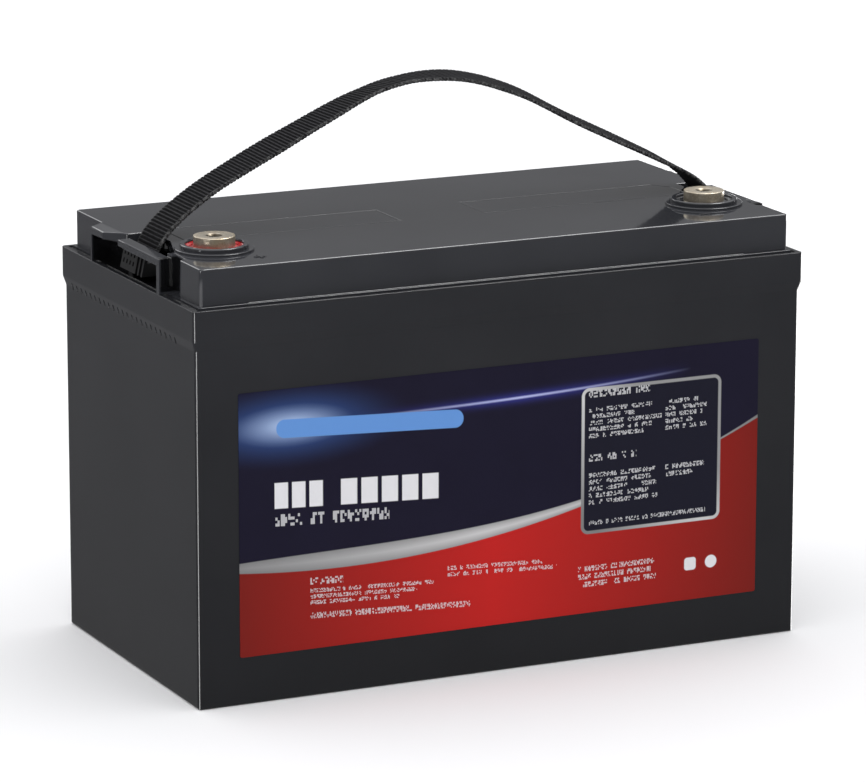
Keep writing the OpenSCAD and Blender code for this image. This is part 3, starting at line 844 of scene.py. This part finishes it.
# Name, place, size and power of each soft box. The first four stand where the rounded edges of one
# direction reflect them, and the last lights up the far side's gloss
EDGE_LIGHTS = [
    ("front_edges", (1.05, -0.60, 2.40), (1.4, 1.1), 75),
    ("end_edges", (-0.60, 2.20, 1.20), (1.4, 0.9), 8),
    ("upright_left", (-2.20, -1.05, -0.45), (0.8, 0.8), 24),
    ("upright_right", (2.20, 1.05, -0.45), (0.8, 0.8), 24),
    ("far_side", (0.55, 0.97, 0.03), (0.9, 0.25), 3),
]
LIGHT_TARGET = Vector((0, 0, 0.15))
# Grey of the surround at two heights from 0, straight down, to 1, straight up
WORLD_GREYS = ((0.27, 0.13), (0.74, 1.0))
WORLD_STRENGTH = 1.7

CAMERA_PLACE = (-1.0544, -2.2250, 0.7108)
AZIMUTH, ELEVATION, ROLL = 25.38, 13.41, 0.08
LENS = 208.5


def edge_light(name, place, size, power):
    """A soft box that is seen in reflections and lights nothing else."""
    data = bpy.data.lights.new(name, "AREA")
    data.shape = "RECTANGLE"
    data.size, data.size_y = size
    data.energy = power
    lamp = bpy.data.objects.new(name, data)
    bpy.context.scene.collection.objects.link(lamp)
    lamp.location = place
    lamp.rotation_euler = (LIGHT_TARGET - Vector(place)).to_track_quat("-Z", "Y").to_euler()
    lamp.visible_diffuse = False
    lamp.visible_camera = False


def add_stage():
    """White floor, a surround that is grey low down and bright overhead, and soft boxes for the edges."""
    bm = bmesh.new()
    bmesh.ops.create_grid(bm, x_segments=8, y_segments=8, size=30)
    mesh = bpy.data.meshes.new("floor")
    bm.to_mesh(mesh)
    bm.free()
    floor = bpy.data.objects.new("floor", mesh)
    bpy.context.scene.collection.objects.link(floor)
    g = Graph("floor", Roughness=0.9, Specular_IOR_Level=0.05)
    g.colour(g.ramp(g.noise(g.place(), 0.4), (0.0, 0.86), (1.0, 0.88)))
    mesh.materials.append(g.material)
    world = bpy.data.worlds.new("studio")
    bpy.context.scene.world = world
    world.use_nodes = True
    tree = world.node_tree
    coord = tree.nodes.new("ShaderNodeTexCoord")
    split = tree.nodes.new("ShaderNodeSeparateXYZ")
    ramp = tree.nodes.new("ShaderNodeValToRGB")
    tree.links.new(coord.outputs["Generated"], split.inputs[0])
    tree.links.new(split.outputs[2], ramp.inputs[0])
    tree.links.new(ramp.outputs[0], tree.nodes["Background"].inputs[0])
    for element, (place, grey) in zip(ramp.color_ramp.elements, WORLD_GREYS):
        element.position = place
        element.color = (grey, grey, grey * 1.02, 1)
    tree.nodes["Background"].inputs[1].default_value = WORLD_STRENGTH
    bpy.context.scene.view_settings.view_transform = "Standard"
    floor.visible_glossy = False
    for settings in EDGE_LIGHTS:
        edge_light(*settings)


def add_camera():
    """The view from the front left, through a long lens."""
    azimuth, elevation, roll = (math.radians(k) for k in (AZIMUTH, ELEVATION, ROLL))
    data = bpy.data.cameras.new("camera")
    data.sensor_width = 36
    data.lens = LENS
    data.clip_end = 100
    camera = bpy.data.objects.new("camera", data)
    bpy.context.scene.collection.objects.link(camera)
    turn = Matrix.Rotation(-azimuth, 3, "Z") @ Matrix.Rotation(math.pi / 2 - elevation, 3, "X")
    turn = turn @ Matrix.Rotation(roll, 3, "Z")
    camera.matrix_world = Matrix.Translation(CAMERA_PLACE) @ turn.to_4x4()
    bpy.context.scene.camera = camera


# ---- The battery ----

# Half length, half width, lowest and highest place of the room inside the container
ROOM = (0.158, 0.0795, 0.001, 0.19)
# Height above the container's top up to which the lid's edges are its flange, and reach of the covers' edges
FLANGE = 1.2 * MM
COVER_REACH = 1 * MM


def outer_case(at):
    """1 on the container's outside and 0 in its cells."""
    long, wide, low, high = ROOM
    return float(max(abs(at.x) - long, abs(at.y) - wide, at.z - high, low - at.z) > 0)


def lid_edge(at):
    """Finer edges on the lid's flange and round the vent covers."""
    for side in ("left", "right"):
        low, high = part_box("vent_cover_" + side)
        if max(low.x - at.x, at.x - high.x, low.y - at.y, at.y - high.y) < COVER_REACH:
            return 0.3
    return 1.0 if at.z > CASE_HIGH.z + FLANGE else 0.35


def add_case():
    case_black = black_plastic("black_abs", level=0.46, roughness=0.09, tone=1.08)
    lid_black = black_plastic("lid_abs", level=0.5, roughness=0.045, tone=1.6, recesses=SHADED_RECESSES)
    case = piece("case_shell", tidied(welded("container")), case_black, "root", "black_abs", "container")
    rounded(case, 0.9 * MM, outer_case)
    lid_nodes = ("lid", "lid_corner_left", "lid_corner_right", "lid_holder_left", "lid_holder_right")
    lid_mesh = tidied(fused("lid_shell", *lid_nodes), LID_CUTS)
    lid = piece("lid_shell", lid_mesh, lid_black, "root", "black_abs", *lid_nodes)
    rounded(lid, 0.7 * MM, lid_edge)
    for side in ("left", "right"):
        paint(lid_black, "vent_cover_" + side)
        soften("vent_cover_" + side, 0.12 * MM)


def add_inner_parts():
    lead, brown = cast_lead("lead"), paste("positive_paste")
    felt, black = glass_felt("glass_mat"), rubber("rubber")
    for k in CELLS:
        paint(lead, f"negative_plates_{k}", f"positive_bus_{k}", f"negative_bus_{k}")
        paint(brown, f"positive_plates_{k}")
        paint(felt, f"glass_mats_{k}")
        paint(black, f"valve_cap_{k}")
        soften(f"valve_cap_{k}", 0.4 * MM)
    paint(lead, "intercell_welds", "terminal_post_positive", "terminal_post_negative")
    paint(black, "o_ring_positive", "o_ring_negative")
    paint(epoxy("adhesive", (0.006, 0.006, 0.006), (0.014, 0.014, 0.014)), "lid_adhesive_seam")


def eased(profile, ease):
    """A profile of (radius, height) with its inner corners rounded."""
    points = [profile[0]]
    for before, corner, after in zip(profile, profile[1:], profile[2:]):
        ends = []
        for other in (before, after):
            gap = math.dist(corner, other)
            share = min(ease, gap * 0.45) / gap
            ends.append([c + (o - c) * share for c, o in zip(corner, other)])
        for t in (0, 0.25, 0.5, 0.75, 1):
            near, middle, far = (1 - t) ** 2, 2 * t * (1 - t), t * t
            points.append(tuple(near * a + middle * c + far * b for a, c, b in zip(ends[0], corner, ends[1])))
    return points + [profile[-1]]


def turned_points(centre, profile, sides, shape):
    """A (radius, height) profile turned about an upright axis. shape(angle, radius, height) moves points."""
    points = []
    for radius, height in profile:
        for k in range(sides):
            angle = 2 * math.pi * k / sides
            r, z = shape(angle, radius, height)
            points.append((centre.x + r * math.cos(angle), centre.y + r * math.sin(angle), z))
    return points


def band_faces(row, other, sides):
    """Faces between two rows of points."""
    a, b = row * sides, other * sides
    return [(a + k, a + (k + 1) % sides, b + (k + 1) % sides, b + k) for k in range(sides)]


def turned_solid(name, centre, profile, sides, shape):
    """A turned solid with a cap at each end of its profile."""
    rows = len(profile)
    faces = [face for row in range(rows - 1) for face in band_faces(row, row + 1, sides)]
    faces.append(tuple(reversed(range(sides))))
    faces.append(tuple(range((rows - 1) * sides, rows * sides)))
    return mesh_of(name, turned_points(centre, profile, sides, shape), faces)


def turned_ring(name, centre, loop, sides, shape):
    """A ring turned from a closed loop of (radius, height)."""
    rows = len(loop)
    faces = [face for row in range(rows) for face in band_faces(row, (row + 1) % rows, sides)]
    return mesh_of(name, turned_points(centre, loop, sides, shape), faces)


THREAD_PITCH = 1.25 * MM
THREAD_MINOR = 3.4 * MM
THREAD_DEPTH = 0.55 * MM
THREAD_LOW, THREAD_HIGH = 210 * MM, 222 * MM
THREAD_ROWS = 84
SINK_R = 4.2 * MM
NECK_R = 6.5 * MM
HEAD_ABOVE_WELL = 2.5 * MM
CORE_R = 0.4 * MM
SLIT = 0.05 * MM


def threaded(angle, r, z):
    """The wall of the bore takes the thread, which runs out at both ends."""
    if abs(r - THREAD_MINOR) > MERGE or not THREAD_LOW < z < THREAD_HIGH:
        return r, z
    turn = (z / THREAD_PITCH + angle / (2 * math.pi)) % 1
    fade = min(1, (THREAD_HIGH - z) / THREAD_PITCH, (z - THREAD_LOW) / THREAD_PITCH)
    return r + THREAD_DEPTH * fade * (1 - abs(2 * turn - 1)), z


def insert_mesh(name, centre, low, high, well_low):
    """Terminal: a neck, and a wider head with eased corners round a countersunk, threaded bore."""
    radius = (high.x - low.x) / 2
    head_low = well_low.z + HEAD_ABOVE_WELL
    outside = eased([
        (CORE_R, low.z), (NECK_R, low.z), (NECK_R, head_low), (radius, head_low), (radius, high.z),
        (SINK_R, high.z), (THREAD_MINOR + SLIT, THREAD_HIGH),
    ], 0.45 * MM)
    bore = [(THREAD_MINOR, z) for z in np.linspace(THREAD_HIGH - SLIT, THREAD_LOW + SLIT, THREAD_ROWS)]
    profile = outside + bore + [(THREAD_MINOR, THREAD_LOW), (CORE_R, THREAD_LOW - 1.0 * MM)]
    return turned_solid(name, centre, profile, 64, threaded)


def resin_mesh(name, centre, radius, low, high, seed):
    """Poured resin between a terminal and its well: its surface dips in the middle and wanders a little."""
    wall, top, floor = (high.x - low.x) / 2, high.z, low.z
    random.seed(seed)
    phases = [random.uniform(0, 2 * math.pi) for _ in range(4)]

    def poured(angle, r, z):
        if z < top - 1.5 * MM:
            return r, z
        share = (r - radius) / (wall - radius)
        wander = sum(math.sin((n + 2) * angle + phase) for n, phase in enumerate(phases)) * 0.045
        return r, z + (wander - 0.55 * math.sin(math.pi * min(1, max(0, share)))) * MM

    rim = top - 0.1 * MM
    ring = [(radius, floor), (wall, floor), (wall, rim)]
    ring += [(wall + (radius - wall) * t, rim) for t in np.linspace(0.08, 1, 10)]
    return turned_ring(name, centre, ring, 72, poured)


# Material slot and the two shades of the resin round each terminal
RESINS = {
    "positive": ("red_resin", (0.42, 0.008, 0.010), (0.62, 0.016, 0.018)),
    "negative": ("black_resin", (0.008, 0.008, 0.009), (0.016, 0.016, 0.017)),
}


def add_terminals():
    for seed, (sign, centre) in enumerate(TERMINAL.items(), start=11):
        low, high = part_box("terminal_" + sign)
        well_low, well_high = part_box("resin_seal_" + sign)
        name = "terminal_insert_" + sign
        insert = insert_mesh(name, centre, low, high, well_low)
        brass = tinned_brass("brass_" + sign, centre, SINK_R)
        piece(name, insert, brass, "root", "terminal_brass", "terminal_" + sign)
        name = "resin_fill_" + sign
        fill = resin_mesh(name, centre, (high.x - low.x) / 2, well_low, well_high, seed)
        slot, dark, light = RESINS[sign]
        piece(name, fill, epoxy(slot, dark, light), "root", slot, "resin_seal_" + sign)


def add_anchors():
    paint(satin_plastic("anchor_plastic"), "strap_anchor_left", "strap_anchor_right")
    soften("strap_anchor_left", 0.2 * MM)
    soften("strap_anchor_right", 0.2 * MM)


add_camera()
add_stage()
add_case()
add_terminals()
add_anchors()
add_strap()
add_inner_parts()
paint(label_film("label_film"), "front_label")
